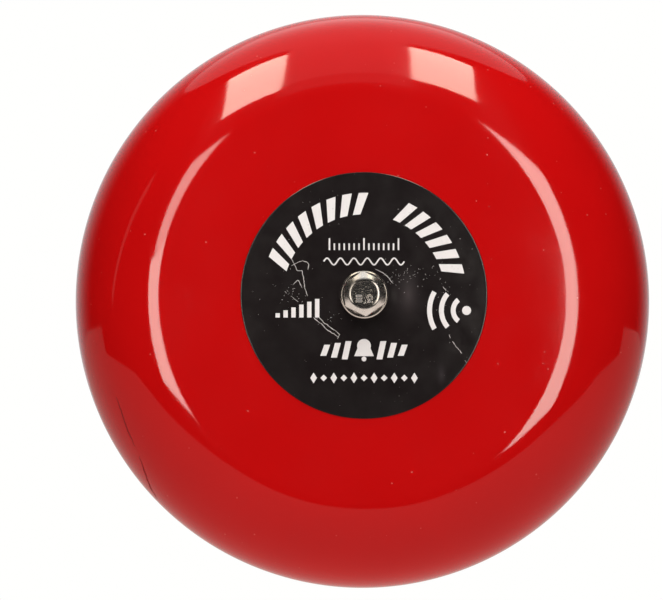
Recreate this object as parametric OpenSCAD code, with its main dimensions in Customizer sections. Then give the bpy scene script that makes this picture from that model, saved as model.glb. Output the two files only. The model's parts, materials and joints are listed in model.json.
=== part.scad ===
// Fire alarm bell: a 150 mm (6 inch) pressed steel gong over a mains solenoid striker, for a wall.
// Millimetres. +X is to the right, +Y runs into the wall and +Z is up. The wall is the plane y = 0
// and the bell's own axis is the Y axis. Every "h" is a distance out from the wall, so y = -h.

/* [Gong] */
// Widest diameter of the gong
gong_d = 150; // [148:0.5:153]
// Thickness of the gong's steel
gong_t = 1.5; // [1.2:0.1:1.8]
// Radius of the rounded shoulder between the face and the skirt
shoulder_r = 24; // [22:0.5:24]
// Radius of the skirt's slight inward curve, seen from the side
skirt_r = 60; // [55:1:75]
// Distance from the wall to the gong's widest ring
girth_h = 26; // [25:0.5:26]
// Distance from the wall to the middle of the gong's face
face_h = 52; // [52:0.5:54]
// Gap between the wall and the gong's rim
rim_h = 10; // [8:0.5:12]
// Hole for the bolt, in the gong and its washers
gong_hole_d = 6.6; // [6.4:0.1:7]

/* [Front fixing] */
// Diameter of the round label
label_d = 62.6; // [50:0.1:80]
// Thickness of the label
label_t = 0.2; // [0.1:0.05:0.4]
// Across flats of the bolt's hexagon head
bolt_af = 10; // [9:0.1:10.5]
// Height of the bolt's head
bolt_head_h = 4; // [3.5:0.1:5]
// Thread diameter of the bolt
bolt_d = 6; // [5:0.5:6]
// Length of the bolt under its head
bolt_length = 16; // [14:1:18]
// Outer diameter of the bolt's washer
washer_d = 12.2; // [11.5:0.1:14]
// Thickness of the bolt's washer
washer_t = 1.6; // [1:0.1:2]
// Outer diameter of the spring washer under the bolt's head
spring_washer_d = 10.2; // [9.8:0.1:11.8]
// Thickness of the spring washer under the bolt's head
spring_washer_t = 1.2; // [1:0.1:1.6]

/* [Housing] */
// Diameter of the die-cast housing at its rim
housing_d = 96; // [95:0.5:97]
// Distance from the wall to the housing's face
housing_h = 37; // [37:0.5:38]
// Wall thickness of the housing
wall_t = 2.5; // [2.3:0.1:2.7]
// Radius of the housing's rounded front edge
edge_r = 4; // [3:0.5:5]

/* [Wall plate] */
// Diameter of the wall plate without its ears
plate_d = 100; // [99:1:104]
// Thickness of the wall plate's steel
plate_t = 1.6; // [1.4:0.1:1.8]
// Diameter of the circle that the four wall screws lie on
ear_pcd = 116; // [112:1:118]
// Diameter of the four wall screw holes
ear_hole_d = 5; // [4:0.5:5.5]
// Pitch of the two holes for a flush box in the wall
box_pitch = 60; // [58:1:62]
// Thickness of the foam gasket between plate and housing
gasket_t = 1.4; // [1:0.1:1.6]

/* [Striker] */
// Distance from the wall to the striker's axis
strike_h = 20; // [19.5:0.5:20.5]
// Travel from rest until the tip meets the gong
travel = 4; // [3:0.5:4]
// Diameter of the solenoid's plunger
plunger_d = 9; // [8.5:0.1:9]
// Diameter of the striker rod
rod_d = 4; // [3.5:0.1:4]
// Diameter of the striker's tip
tip_d = 8; // [7:0.5:9]
// Number of turns on the return spring
spring_turns = 5; // [4:1:5]

/* [Hidden] */
$fn = 64;

play = 0.05;          // radial clearance of a screw in its thread, or of a bush in its seat

// Gong: three tangent arcs, for the crowned face, the shoulder and the skirt
gong_r = gong_d / 2;
shoulder_c = [gong_r - shoulder_r, girth_h];
skirt_c = [gong_r - skirt_r, girth_h];
crown_rise = face_h - girth_h;
crown_r = (pow(shoulder_c.x, 2) + pow(crown_rise, 2) - pow(shoulder_r, 2))
        / (2 * (crown_rise - shoulder_r));
crown_c = [0, face_h - crown_r];
crown_end = atan2(shoulder_c.y - crown_c.y, shoulder_c.x);

// Stack on the bell's axis, from the face outwards and from the face inwards
label_gap = 0.01;     // keeps the label's faceted arc just off the gong's
washer_h = face_h + label_gap + label_t;
bolt_seat_h = washer_h + washer_t + spring_washer_t;
seat_washer_t = 1.5;
seat_h = face_h - gong_t - 0.05;
pillar_h = seat_h - seat_washer_t;
pillar_af = 14;
stud_d = 8;
stud_end_h = 27.5;
boss_r = 8;           // thickened middle of the housing's face
boss_t = 1.5;
lock_washer_t = 1;
nut_h = 4;

// Wall plate
dish_h = 2.4;         // how far the plate's middle is raised off the wall
dish_r = 34;
ear_w = 15;
grommet_up = 18;      // height of the cable entry above the bell's axis
grommet_r = 12;
grommet_bore_r = 9;

// Housing
rim_z = plate_t + gasket_t;
housing_r = housing_d / 2;
inside_h = housing_h - wall_t;
draft = 1.2;          // how much narrower the housing is at its face
column_x = 41;        // screw columns, one on each side
column_r = 4.5;
nut_top_h = plate_t + 3.2;
entry_h = 18;         // blanked side entry, at the top of the housing
entry_r = 8;
pad_top = housing_r + 1.8;
bush_end = -housing_r - 3;
bush_start = -43;
earth_at = [27, 20];
earth_boss_h = 20;

// Solenoid, along the striker's axis
frame_x = 14;
frame_t = 2;
frame_top = -9;
frame_bottom = -40;
frame_back_h = 8;
tube_wall = 0.5;
tube_r = plunger_d / 2 + 0.08 + tube_wall;
flange_t = 0.8;
coil_r = 11.8;
cheek_t = 1.2;
core_r = tube_r + 1.1;
frame_screw_z = [-17, -32];

// Striker
plunger_top = 5;
plunger_length = 28;
clip_z = 2;
clip_t = 1;
spring_wire_r = 0.4;
spring_r = plunger_d / 2 + 0.95;
spring_base = frame_top + flange_t;
wall_at_strike = skirt_c.x + sqrt(pow(skirt_r - gong_t, 2) - pow(girth_h - strike_h, 2));
touch_gap = 0.2;      // left between the tip and the gong at full travel
tip_end = -(wall_at_strike - travel - touch_gap);
tip_length = 9.5;
rod_in_plunger = 7.5;
bracket_z = 8.5;
bracket_t = 1.5;
bracket_x = 6;
bracket_screw_z = 16;

// Terminals and wiring
block_z = [24, 37];
block_x = 12;
pole_x = 7.5;
pole_h = 27;
tower_end_h = 20.5;
tower_z = [27.4, 33.6];
lead_r = 0.9;
lead_sides = 8;
diode_at = [18, 17.5];
diode_z = [3, 15];
// Routes as [x, h, z]: out of the coil, round the frame, up past the buffer and into the block
coil_route = [[11.8, 20, -15], [14.5, 20, -15], [17, 19.5, -13], [18, 19, -9], [18, 18, -3], [18, 17.5, 3]];
block_route = [
    [18, 17.5, 15], [17.2, 18.6, 18], [14, 22, 20.5], [10, 25.6, 21.8], [7.9, 26.9, 24], [7.5, 27, 28]
];

// ---------------------------------------------------------------- helpers

// Points along an arc, angles in degrees
function arc(centre, radius, from, to, steps) =
    [for (i = [0:steps]) let (a = from + (to - from) * i / steps) centre + radius * [cos(a), sin(a)]];

function tail(list) = [for (i = [1:len(list) - 1]) list[i]];
function backwards(list) = [for (i = [len(list) - 1:-1:0]) list[i]];
function unit(v) = v / norm(v);

// A frame at x, up from the axis and h out from the wall, whose +Z points away from the wall
module facing(x = 0, up = 0, h = 0) translate([x, -h, up]) rotate([90, 0, 0]) children();

// A frame on the striker's vertical axis
module hanging(z = 0) translate([0, -strike_h, z]) children();

// A box from ranges in x, h and z
module slab(x, h, z)
    translate([x[0], -h[1], z[0]]) cube([x[1] - x[0], h[1] - h[0], z[1] - z[0]]);

// A ring or disc with its bottom at z = 0
module ring(outer, inner, height) {
    difference() {
        cylinder(r = outer, h = height);
        if (inner > 0) translate([0, 0, -1]) cylinder(r = inner, h = height + 2);
    }
}

// A split spring washer
module split_washer(outer, inner, height) {
    difference() {
        ring(outer, inner, height);
        rotate([0, 0, 60]) translate([0, -0.4, -1]) cube([outer + 1, 0.8, height + 2]);
    }
}

// A hexagon with its top corners turned down, as on a bolt head or nut
module hex_body(af, height) {
    corner = af / sqrt(3);
    turned = af * 0.41;
    intersection() {
        cylinder(r = corner, h = height, $fn = 6);
        rotate_extrude() polygon([
            [0, 0], [corner + 0.01, 0], [corner + 0.01, height - (corner - turned) * tan(30)],
            [turned, height], [0, height]
        ]);
    }
}

// A cross-recessed pan head screw with its head on z = 0 and its shank below
module pan_screw(d, length, head_r, head_h) {
    dome_r = head_r * 0.55;
    difference() {
        union() {
            rotate_extrude() polygon(concat(
                [[0, 0], [head_r, 0]],
                arc([head_r - dome_r, head_h - dome_r], dome_r, 0, 90, 6),
                [[0, head_h]]
            ));
            translate([0, 0, -length]) cylinder(d = d, h = length + 0.5);
        }
        for (a = [0, 90]) rotate([0, 0, a])
            translate([-head_r * 0.55, -0.45, head_h * 0.35]) cube([head_r * 1.1, 0.9, head_h]);
    }
}

// A round wire swept along points, as one closed polyhedron
module sweep(points, radius, sides) {
    last = len(points) - 1;
    function along(i) = unit(points[min(i + 1, last)] - points[max(i - 1, 0)]);
    function side(i) = unit(cross(along(i), [0.3, 1, 0.2]));
    function ring_at(i) = [for (k = [0:sides - 1]) let (a = 360 * k / sides)
        points[i] + radius * (cos(a) * side(i) + sin(a) * cross(along(i), side(i)))];
    polyhedron(
        points = [for (i = [0:last]) each ring_at(i)],
        faces = concat(
            [for (i = [0:last - 1]) for (k = [0:sides - 1]) let (n = (k + 1) % sides)
                [i * sides + n, i * sides + k, (i + 1) * sides + k, (i + 1) * sides + n]],
            [[for (k = [0:sides - 1]) k]],
            [[for (k = [sides - 1:-1:0]) last * sides + k]]
        )
    );
}

// Catmull-Rom points between the hand-picked ones
function smooth(p, steps) = concat(
    [for (i = [0:len(p) - 2]) for (j = [0:steps - 1])
        let (
            a = p[max(i - 1, 0)], b = p[i], c = p[i + 1], d = p[min(i + 2, len(p) - 1)], t = j / steps
        ) 0.5 * (
            2 * b + (c - a) * t + (2 * a - 5 * b + 4 * c - d) * t * t
            + (3 * b - 3 * c + d - a) * t * t * t
        )],
    [p[len(p) - 1]]
);

// ---------------------------------------------------------------- gong and its fixing

// The gong's section from its hole to its rim, inset from the outer skin. Points are [r, h].
function gong_line(inset, from_r) = concat(
    arc(crown_c, crown_r - inset, acos(from_r / (crown_r - inset)), crown_end, 14),
    tail(arc(shoulder_c, shoulder_r - inset, crown_end, 0, 24)),
    tail(arc(skirt_c, skirt_r - inset, 0, -asin((girth_h - rim_h) / (skirt_r - inset)), 8))
);

module gong() {
    color("firebrick") facing() rotate_extrude($fn = 180)
        polygon(concat(gong_line(0, gong_hole_d / 2), backwards(gong_line(gong_t, gong_hole_d / 2))));
}

// Follows the crown of the gong
module front_label() {
    inner = gong_hole_d / 2 + 0.1;
    bottom_r = crown_r + label_gap;
    top_r = bottom_r + label_t;
    color([0.08, 0.08, 0.08]) facing() rotate_extrude($fn = 120) polygon(concat(
        arc(crown_c, bottom_r, acos(inner / bottom_r), acos(label_d / 2 / bottom_r), 10),
        arc(crown_c, top_r, acos(label_d / 2 / top_r), acos(inner / top_r), 10)
    ));
}

module gong_bolt() {
    recess_r = bolt_af * 0.36;
    color("silver") facing(h = bolt_seat_h) {
        difference() {
            rotate([0, 0, 34]) hex_body(bolt_af, bolt_head_h);
            rotate_extrude() translate([0, bolt_head_h]) polygon([
                [0, -0.6], [recess_r - 0.3, -0.6], [recess_r + 0.05, 0.1], [0, 0.1]
            ]);
        }
        translate([0, 0, -bolt_length]) cylinder(d = bolt_d, h = bolt_length);
    }
}

module bolt_washer() {
    bevel = 0.25;
    color("gainsboro") facing(h = washer_h) rotate_extrude() polygon([
        [bolt_d / 2 + 0.2, 0], [washer_d / 2, 0], [washer_d / 2, washer_t - bevel],
        [washer_d / 2 - bevel, washer_t], [bolt_d / 2 + 0.2, washer_t]
    ]);
}

module bolt_lock_washer() {
    color("gray") facing(h = washer_h + washer_t)
        split_washer(spring_washer_d / 2, bolt_d / 2 + 0.1, spring_washer_t);
}

module seat_washer() {
    color("sienna") facing(h = pillar_h) ring(9, gong_hole_d / 2, seat_washer_t);
}

// Hexagon spacer, bored and tapped for the gong's bolt, with a stud through the housing
module gong_pillar() {
    collar_t = 1.2;
    color("silver") facing() difference() {
        union() {
            translate([0, 0, stud_end_h]) cylinder(d = stud_d, h = housing_h - stud_end_h + 1);
            translate([0, 0, housing_h])
                cylinder(r = pillar_af / sqrt(3), h = pillar_h - collar_t - housing_h, $fn = 6);
            translate([0, 0, pillar_h - collar_t - 0.5]) cylinder(d = pillar_af - 0.8, h = collar_t + 0.5);
        }
        translate([0, 0, bolt_seat_h - bolt_length - 1.5])
            cylinder(r = bolt_d / 2 + play, h = bolt_length + 5);
    }
}

module pillar_lock_washer() {
    color("silver") facing(h = inside_h - boss_t - lock_washer_t)
        split_washer(6.6, stud_d / 2 + 0.1, lock_washer_t);
}

module pillar_nut() {
    color("silver") facing(h = inside_h - boss_t - lock_washer_t - nut_h) difference() {
        hex_body(13, nut_h);
        translate([0, 0, -1]) cylinder(r = stud_d / 2 + play, h = nut_h + 2);
    }
}

// ---------------------------------------------------------------- wall plate

module wall_plate() {
    slope = dish_h / 1.5;
    color("lightgray") facing() difference() {
        union() {
            rotate_extrude($fn = 120) polygon([
                [0, dish_h], [dish_r, dish_h], [dish_r + slope, 0], [plate_d / 2, 0],
                [plate_d / 2, plate_t], [dish_r + slope + 0.8, plate_t],
                [dish_r + 0.8, dish_h + plate_t], [0, dish_h + plate_t]
            ]);
            for (a = [45:90:315]) rotate([0, 0, a]) linear_extrude(plate_t) {
                translate([plate_d / 2 - 5, -ear_w / 2]) square([ear_pcd / 2 - plate_d / 2 + 5, ear_w]);
                translate([ear_pcd / 2, 0]) circle(d = ear_w);
            }
        }
        for (a = [45:90:315]) rotate([0, 0, a]) translate([ear_pcd / 2, 0, -1])
            cylinder(d = ear_hole_d, h = plate_t + 2);
        for (side = [-1, 1]) {
            translate([side * box_pitch / 2, 0, 0]) cylinder(d = 4.5, h = 10);
            translate([side * column_x, 0, -1]) cylinder(r = 2.2, h = 10);
        }
        translate([0, grommet_up, 0]) cylinder(r = grommet_r, h = 10);
    }
}

module clinch_nuts() {
    color("darkgray") for (side = [-1, 1])
        facing(side * column_x, 0, plate_t) ring(3.7, 2 + play, nut_top_h - plate_t);
}

// Rubber edging round the cable's hole in the plate, with a lip on each side
module cable_grommet() {
    lip_r = grommet_r + 2.3;
    lip_t = 1.6;
    under = dish_h - lip_t;
    over = dish_h + plate_t;
    color([0.12, 0.12, 0.12]) facing(0, grommet_up) rotate_extrude() polygon([
        [grommet_bore_r, under], [lip_r - 0.6, under], [lip_r, under + 0.6], [lip_r, dish_h],
        [grommet_r, dish_h], [grommet_r, over], [lip_r, over], [lip_r, over + lip_t - 0.6],
        [lip_r - 0.6, over + lip_t], [grommet_bore_r, over + lip_t]
    ]);
}

module housing_gasket() {
    color([0.2, 0.2, 0.2]) facing(h = plate_t) ring(housing_r, housing_r - wall_t - 0.2, gasket_t);
}

// ---------------------------------------------------------------- housing

// Half-section of a cup from its rim at low to its face at top, narrowing by the draft
module cup_section(radius, low, top, edge) {
    polygon(concat(
        [[0, low], [radius, low]],
        arc([radius - draft - edge, top - edge], edge, 0, 90, 8),
        [[0, top]]
    ));
}

module housing() {
    color([0.16, 0.16, 0.17]) difference() {
        union() {
            difference() {
                union() {
                    facing() rotate_extrude($fn = 120) cup_section(housing_r, rim_z, housing_h, edge_r);
                    translate([0, -entry_h, housing_r - 10]) cylinder(r = 12.5, h = pad_top - housing_r + 10);
                    hanging(bush_end) cylinder(r = 7.5, h = 10);
                }
                facing() rotate_extrude($fn = 120)
                    cup_section(housing_r - wall_t, rim_z - 5, inside_h, edge_r - 2);
            }
            hanging(bush_end) cylinder(r = 7.5, h = bush_start - bush_end);
            for (side = [-1, 1])
                facing(side * column_x, 0, nut_top_h + 0.2)
                    cylinder(r = column_r, h = housing_h - nut_top_h - 1.2);
            facing(h = inside_h - boss_t) cylinder(r = boss_r, h = boss_t + 1);
            facing(earth_at.x, earth_at.y, earth_boss_h) cylinder(r = 5, h = housing_h - earth_boss_h - 1);
        }
        for (side = [-1, 1]) facing(side * column_x, 0, 0) cylinder(r = 2.2, h = housing_h + 1);
        facing(h = stud_end_h) cylinder(r = stud_d / 2 + play, h = 20);
        for (z = concat(frame_screw_z, [bracket_screw_z])) facing(0, z, inside_h - 1)
            cylinder(r = 2.2, h = wall_t + 2);
        facing(0, (block_z[0] + block_z[1]) / 2, inside_h - 1) cylinder(r = 1.5 + play, h = wall_t + 0.4);
        facing(earth_at.x, earth_at.y, earth_boss_h - 1) cylinder(r = 2 + play, h = 10);
        hanging(bush_end - 1) cylinder(r = 4.5 + play, h = bush_start - bush_end + 2);
        translate([0, -entry_h, housing_r - 12]) cylinder(r = entry_r, h = 20);
    }
}

module housing_screws() {
    color("silver") for (side = [-1, 1])
        facing(side * column_x, 0, housing_h + lock_washer_t)
            pan_screw(4, housing_h + lock_washer_t - 2, 4, 2.6);
}

module housing_lock_washers() {
    color("silver") for (side = [-1, 1])
        facing(side * column_x, 0, housing_h) split_washer(3.8, 2.15, lock_washer_t);
}

// Blanking plug in the side entry, with a thin middle that a cable is pushed through
module entry_plug() {
    lip = housing_r - wall_t - 1.6;
    color([0.12, 0.12, 0.12]) translate([0, -entry_h, 0]) rotate_extrude() polygon([
        [0, pad_top - 1.6], [entry_r - 2, pad_top - 1.6], [entry_r - 2, lip - 2],
        [entry_r + 0.8, lip - 2], [entry_r + 1.4, lip], [entry_r - play, lip],
        [entry_r - play, pad_top], [entry_r + 2.4, pad_top], [entry_r + 2.4, pad_top + 0.9],
        [entry_r + 1.6, pad_top + 1.8], [entry_r - 2, pad_top + 1.8], [entry_r - 4, pad_top - 0.4],
        [0, pad_top - 0.4]
    ]);
}

// ---------------------------------------------------------------- solenoid

// C-shaped steel bracket, which also closes the coil's magnetic path
module solenoid_frame() {
    color("lightsteelblue") difference() {
        union() {
            slab([-frame_x, frame_x], [inside_h - frame_t, inside_h], [frame_bottom, frame_top]);
            for (z = [frame_bottom, frame_top - frame_t])
                slab([-frame_x, frame_x], [frame_back_h, inside_h], [z, z + frame_t]);
        }
        hanging(frame_bottom - 1) cylinder(r = tube_r + play, h = frame_top - frame_bottom + 2);
        for (z = frame_screw_z) facing(0, z, inside_h - frame_t - 1) cylinder(r = 2 + play, h = 5);
    }
}

module frame_screws() {
    color("silver") for (z = frame_screw_z)
        facing(0, z, housing_h) pan_screw(4, wall_t + frame_t - 0.2, 3.8, 2.4);
}

module coil_bobbin() {
    bottom = frame_bottom + frame_t + 0.1;
    length = frame_top - frame_bottom - 2 * frame_t - 0.2;
    color("ivory") hanging(bottom) difference() {
        union() {
            cylinder(r = core_r, h = length);
            cylinder(r = coil_r, h = cheek_t);
            translate([0, 0, length - cheek_t]) cylinder(r = coil_r, h = cheek_t);
        }
        translate([0, 0, -1]) cylinder(r = tube_r + play, h = length + 2);
    }
}

// Space between the bobbin's cheeks, as [start, length]
winding_z = [
    frame_bottom + frame_t + cheek_t + 0.2,
    frame_top - frame_bottom - 2 * frame_t - 2 * cheek_t - 0.4
];

module coil_winding() {
    color("chocolate") hanging(winding_z[0]) ring(coil_r - 0.7, core_r + play, winding_z[1]);
}

module coil_tape() {
    color("goldenrod") hanging(winding_z[0]) ring(coil_r - 0.1, coil_r - 0.65, winding_z[1]);
}

// Brass tube that the plunger slides in, flanged on top of the frame
module guide_tube() {
    color("goldenrod") difference() {
        union() {
            hanging(frame_bottom) cylinder(r = tube_r, h = spring_base - frame_bottom);
            hanging(frame_top) cylinder(r = tube_r + 1.4, h = flange_t);
        }
        hanging(frame_bottom - 1) cylinder(r = tube_r - tube_wall, h = spring_base - frame_bottom + 2);
    }
}

// Nylon bush that the rod slides in where it leaves the housing
module guide_bush() {
    color("whitesmoke") difference() {
        union() {
            hanging(bush_end) cylinder(r = 4.5, h = bush_start - bush_end);
            hanging(bush_end - 1) cylinder(r = 6.5, h = 1);
        }
        hanging(bush_end - 2) cylinder(r = rod_d / 2 + 0.06, h = 20);
    }
}

module buffer_bracket() {
    color("lightsteelblue") difference() {
        union() {
            slab([-bracket_x, bracket_x], [13, inside_h], [bracket_z, bracket_z + bracket_t]);
            slab([-bracket_x, bracket_x], [inside_h - bracket_t, inside_h], [bracket_z, 21]);
        }
        hanging(bracket_z - 1) cylinder(r = 2, h = bracket_t + 2);
        facing(0, bracket_screw_z, inside_h - bracket_t - 1) cylinder(r = 2 + play, h = 5);
    }
}

module bracket_screw() {
    color("silver") facing(0, bracket_screw_z, housing_h) pan_screw(4, wall_t + bracket_t - 0.2, 3.8, 2.4);
}

// The plunger's upper stop, pulled through the bracket's hole
module rubber_buffer() {
    stem_top = bracket_z + bracket_t;
    color([0.12, 0.12, 0.12]) hanging() rotate_extrude() polygon([
        [0, plunger_top + 0.1], [3.6, plunger_top + 0.1], [4.5, plunger_top + 1], [4.5, bracket_z],
        [1.95, bracket_z], [1.95, stem_top], [2.9, stem_top], [1.6, stem_top + 2.2], [0, stem_top + 2.2]
    ]);
}

// ---------------------------------------------------------------- striker, which slides down

module plunger() {
    bottom = plunger_top - plunger_length;
    r = plunger_d / 2;
    chamfer = 0.6;
    groove_r = r - 1;
    color("darkgray") hanging() difference() {
        rotate_extrude() polygon([
            [0, bottom], [r - chamfer, bottom], [r, bottom + chamfer], [r, clip_z - 0.02],
            [groove_r, clip_z - 0.02], [groove_r, clip_z + clip_t + 0.02], [r, clip_z + clip_t + 0.02],
            [r, plunger_top - chamfer], [r - chamfer, plunger_top], [0, plunger_top]
        ]);
        translate([0, 0, bottom - 1]) cylinder(r = rod_d / 2 + 0.02, h = rod_in_plunger + 1.5);
    }
}

// E-clip in the plunger's groove, which the spring pushes up on
module plunger_clip() {
    inner = plunger_d / 2 - 1 + play;
    color("dimgray") hanging(clip_z) difference() {
        ring(plunger_d / 2 + 2, inner, clip_t);
        translate([-inner * 0.8, -10, -1]) cube([inner * 1.6, 10, clip_t + 2]);
    }
}

// Helix whose first and last three quarters of a turn lie flat
module return_spring() {
    per_turn = 16;
    steps = spring_turns * per_turn;
    flat = 0.75;
    low = spring_base + spring_wire_r;
    high = clip_z - spring_wire_r;
    function lift(turn) = max(0, min(1, (turn - flat) / (spring_turns - 2 * flat)));
    function eased(t) = t * t * (3 - 2 * t) * 0.3 + t * 0.7;
    color("silver") hanging() sweep(
        [for (i = [0:steps]) let (turn = i / per_turn, a = 360 * turn)
            [spring_r * cos(a), spring_r * sin(a), low + (high - low) * eased(lift(turn))]],
        spring_wire_r, 8
    );
}

module striker_rod() {
    top = plunger_top - plunger_length + rod_in_plunger;
    bottom = tip_end + 3.1;
    color("silver") hanging(bottom) cylinder(d = rod_d, h = top - bottom);
}

// Domed brass tip on the end of the rod
module striker_tip() {
    r = tip_d / 2;
    dome_r = 7;
    dome_angle = asin(r / dome_r);
    color("gold") hanging(tip_end) difference() {
        rotate_extrude() polygon(concat(
            arc([0, dome_r], dome_r, -90, -90 + dome_angle, 8),
            [[r, tip_length - 1], [r - 1, tip_length], [0, tip_length]]
        ));
        translate([0, 0, 3]) cylinder(r = rod_d / 2 + 0.02, h = tip_length);
    }
}

// ---------------------------------------------------------------- terminals and wiring

module terminal_block() {
    mid_z = (block_z[0] + block_z[1]) / 2;
    length = block_z[1] - block_z[0];
    color("ivory") difference() {
        union() {
            slab([-block_x, block_x], [pole_h + 1, inside_h], block_z);
            for (side = [-1, 1]) {
                translate([side * pole_x, -pole_h, block_z[0]]) cylinder(r = 4.4, h = length);
                for (z = tower_z)
                    facing(side * pole_x, z, tower_end_h) cylinder(r = 2.9, h = pole_h - tower_end_h);
            }
        }
        for (side = [-1, 1]) {
            translate([side * pole_x, -pole_h, block_z[0] - 1]) cylinder(r = 3 + play, h = length + 2);
            for (z = tower_z) facing(side * pole_x, z, tower_end_h - 1) cylinder(r = 1.9, h = 5);
        }
        facing(0, mid_z, pole_h - 5) cylinder(r = 1.6, h = 20);
    }
}

module terminal_clamps() {
    length = block_z[1] - block_z[0] - 1;
    color("gold") for (side = [-1, 1]) difference() {
        translate([side * pole_x, -pole_h, block_z[0] + 0.5]) cylinder(r = 3, h = length);
        translate([side * pole_x, -pole_h, block_z[0] - 1]) cylinder(r = 2, h = length + 4);
        for (z = tower_z) facing(side * pole_x, z, pole_h - 4) cylinder(r = 1.25 + play, h = 4);
    }
}

module terminal_screws() {
    head_h = tower_end_h + 0.8;
    color("silver") for (side = [-1, 1]) for (z = tower_z) difference() {
        union() {
            facing(side * pole_x, z, head_h) cylinder(r = 1.8, h = 2.2);
            facing(side * pole_x, z, head_h + 2) cylinder(r = 1.25, h = 2.6);
        }
        slab([side * pole_x - 3, side * pole_x + 3], [head_h - 1, head_h + 0.9], [z - 0.3, z + 0.3]);
    }
}

module terminal_fixing_screw() {
    color("silver") translate([0, -pole_h - 1, (block_z[0] + block_z[1]) / 2]) rotate([-90, 0, 0])
        pan_screw(3, housing_h - pole_h - 1.8, 2.75, 2);
}

// Axial diode that lets only half of each mains cycle through, so the plunger can return
module rectifier_diode() {
    length = diode_z[1] - diode_z[0];
    color([0.1, 0.1, 0.1]) translate([diode_at.x, -diode_at.y, diode_z[0]]) {
        cylinder(r = 0.4, h = length);
        translate([0, 0, 3]) cylinder(r = 1.5, h = length - 6);
    }
}

// A stretch of sleeved wire along a route of [x, h, z] points, on the left or the right
module lead(route, side = 1)
    sweep([for (p = smooth(route, 3)) [side * p[0], -p[1], p[2]]], lead_r, lead_sides);

module coil_lead_live() { color("saddlebrown") lead(coil_route); }

module diode_lead() { color("saddlebrown") lead(block_route); }

module coil_lead_neutral() { color("royalblue") lead(concat(coil_route, [[18, 17.5, 9]], block_route), -1); }

module earth_screw() {
    washer_side = earth_boss_h - 1;
    color("gold") translate([earth_at.x, -washer_side, earth_at.y]) rotate([-90, 0, 0])
        pan_screw(4, 9, 3.8, 2.4);
}

module earth_washer() {
    color("gold") facing(earth_at.x, earth_at.y, earth_boss_h - 1) ring(4.5, 2.15, 1);
}

// ---------------------------------------------------------------- the nodes

gong();
front_label();
gong_bolt();
bolt_lock_washer();
bolt_washer();
seat_washer();
gong_pillar();
pillar_nut();
pillar_lock_washer();
wall_plate();
clinch_nuts();
cable_grommet();
housing_gasket();
housing();
housing_screws();
housing_lock_washers();
entry_plug();
solenoid_frame();
frame_screws();
coil_bobbin();
coil_winding();
coil_tape();
guide_tube();
guide_bush();
buffer_bracket();
bracket_screw();
rubber_buffer();
plunger();
plunger_clip();
return_spring();
striker_rod();
striker_tip();
terminal_block();
terminal_clamps();
terminal_screws();
terminal_fixing_screw();
rectifier_diode();
coil_lead_live();
diode_lead();
coil_lead_neutral();
earth_screw();
earth_washer();
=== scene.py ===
"""Fire alarm bell: the looks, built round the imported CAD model. Metres; the bell's axis is Y and it faces -Y.

Shapes that replace a CAD node keep its dimensions and add what the CAD leaves plain: rounded edges,
the curve of the label, its print and creases, the bolt's recess and the paint's small waves.
Sections are given in millimetres as [radius, height out from the wall].
"""
import json
import math
import random

import bmesh
import bpy
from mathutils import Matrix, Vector, noise


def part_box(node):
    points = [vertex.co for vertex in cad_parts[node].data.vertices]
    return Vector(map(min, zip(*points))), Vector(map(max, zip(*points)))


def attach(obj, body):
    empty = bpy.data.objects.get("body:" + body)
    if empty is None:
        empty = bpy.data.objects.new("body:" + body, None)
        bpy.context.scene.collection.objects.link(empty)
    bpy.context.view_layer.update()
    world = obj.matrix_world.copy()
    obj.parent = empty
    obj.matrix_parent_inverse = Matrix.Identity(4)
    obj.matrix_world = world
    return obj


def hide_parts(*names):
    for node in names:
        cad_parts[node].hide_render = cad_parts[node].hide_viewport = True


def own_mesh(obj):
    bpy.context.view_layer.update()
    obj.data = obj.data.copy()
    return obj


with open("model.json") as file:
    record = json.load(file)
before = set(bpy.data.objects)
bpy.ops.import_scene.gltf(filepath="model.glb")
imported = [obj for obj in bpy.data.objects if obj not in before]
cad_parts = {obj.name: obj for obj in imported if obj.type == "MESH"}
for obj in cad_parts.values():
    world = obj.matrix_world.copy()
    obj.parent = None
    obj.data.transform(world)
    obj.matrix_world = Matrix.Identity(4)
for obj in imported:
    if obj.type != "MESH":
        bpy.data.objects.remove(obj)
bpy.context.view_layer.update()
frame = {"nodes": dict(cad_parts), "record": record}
nodes = frame["nodes"]
MM = 0.001

# Gong's section, as in the CAD: crown, shoulder and skirt arcs
WALL = 1.5
SHOULDER_C, SHOULDER_R = (51.0, 26.0), 24.0
SKIRT_C, SKIRT_R = (15.0, 26.0), 60.0
CROWN_R = 675.25
CROWN_C = (0.0, 52.0 - CROWN_R)
TANGENT = math.degrees(math.atan2(SHOULDER_C[1] - CROWN_C[1], SHOULDER_C[0]))
RIM_H = 10.0
HOLE_R = 3.3
LABEL_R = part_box("front_label")[1].x / MM
LABEL_TOP = CROWN_R + 0.21


# ------------------------------------------------------------------ mesh helpers

def arc(centre, radius, start, end, steps):
    """Points along an arc, from angle start to end in degrees."""
    out = []
    for i in range(steps + 1):
        a = math.radians(start + (end - start) * i / steps)
        out.append((centre[0] + radius * math.cos(a), centre[1] + radius * math.sin(a)))
    return out


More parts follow.
